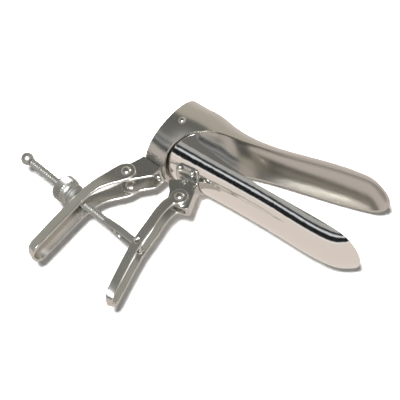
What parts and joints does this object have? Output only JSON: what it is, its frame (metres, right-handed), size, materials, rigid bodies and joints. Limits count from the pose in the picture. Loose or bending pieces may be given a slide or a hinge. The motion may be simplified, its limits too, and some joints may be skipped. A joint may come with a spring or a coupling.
{
  "type": "bivalve speculum",
  "caption": "Self-retaining bivalve speculum: two hinged sheet-steel blades on a ring, with folding loop handles spread and held by a knurled nut on a threaded rod.",
  "frame": {"origin": "middle of the valve hinge line, in the plane of symmetry, at the centre of the ring's opening", "axes": "+X along the lower valve from the ring towards its tip, +Y away from the handles, +Z along the hinge line towards the side that faces the viewer"},
  "size_m": [0.1718, 0.1209, 0.0424],
  "materials": {
    "valve_steel": "mirror-polished stainless steel",
    "bracket_steel": "polished stainless steel",
    "handle_steel": "satin-polished stainless steel",
    "rivet_steel": "polished stainless steel",
    "screw_steel": "satin stainless steel",
    "nut_steel": "satin stainless steel with a fine knurl"
  },
  "bodies": {
    "lower_body": {"lower_valve": "valve_steel", "lower_bracket": "bracket_steel", "lower_bracket_rivets": "rivet_steel", "hinge_rivet_near": "rivet_steel", "hinge_rivet_far": "rivet_steel", "lower_handle_rivet_near": "rivet_steel", "lower_handle_rivet_far": "rivet_steel"},
    "upper_body": {"upper_valve": "valve_steel", "upper_bracket": "bracket_steel", "upper_bracket_rivets": "rivet_steel", "upper_handle_rivet_near": "rivet_steel", "upper_handle_rivet_far": "rivet_steel"},
    "proximal_handle": {"upper_handle": "handle_steel"},
    "distal_handle": {"lower_handle": "handle_steel", "fork_pin": "rivet_steel"},
    "screw": {"screw_fork": "screw_steel", "threaded_rod": "screw_steel", "stop_ball": "screw_steel"},
    "washer": {"thrust_washer": "nut_steel"},
    "nut": {"knurled_nut": "nut_steel"}
  },
  "joints": [
    {"name": "valve_open", "type": "hinge", "parent": "lower_body", "child": "upper_body", "pos_m": [0, 0, 0], "axis": [0, 0, 1], "range_deg": [-19, 10.5]},
    {"name": "upper_handle_fold", "type": "hinge", "parent": "upper_body", "child": "proximal_handle", "pos_m": [-0.0116, -0.0311, 0], "axis": [0, 0, 1], "range_deg": [0, 4]},
    {"name": "lower_handle_fold", "type": "hinge", "parent": "lower_body", "child": "distal_handle", "pos_m": [0.0176, -0.0272, 0], "axis": [0, 0, 1], "range_deg": [-3, 0]},
    {"name": "screw_swing", "type": "hinge", "parent": "distal_handle", "child": "screw", "pos_m": [0.018, -0.058, 0], "axis": [0, 0, 1], "range_deg": [0, 3.2]},
    {"name": "nut_travel", "type": "slide", "parent": "screw", "child": "washer", "axis": [-0.9939, 0.1104, 0], "range_m": [-0.0112, 0.0198]},
    {"name": "nut_spin", "type": "hinge", "parent": "washer", "child": "nut", "pos_m": [0.018, -0.058, 0], "axis": [-0.9939, 0.1104, 0], "range_deg": [-4000, 7100]}
  ],
  "couplings": [
    {"joint": "nut_travel", "follows": "valve_open", "m_per_rad": -0.058},
    {"joint": "nut_spin", "follows": "valve_open", "ratio": -364.42},
    {"joint": "screw_swing", "follows": "lower_handle_fold", "ratio": -1}
  ]
}
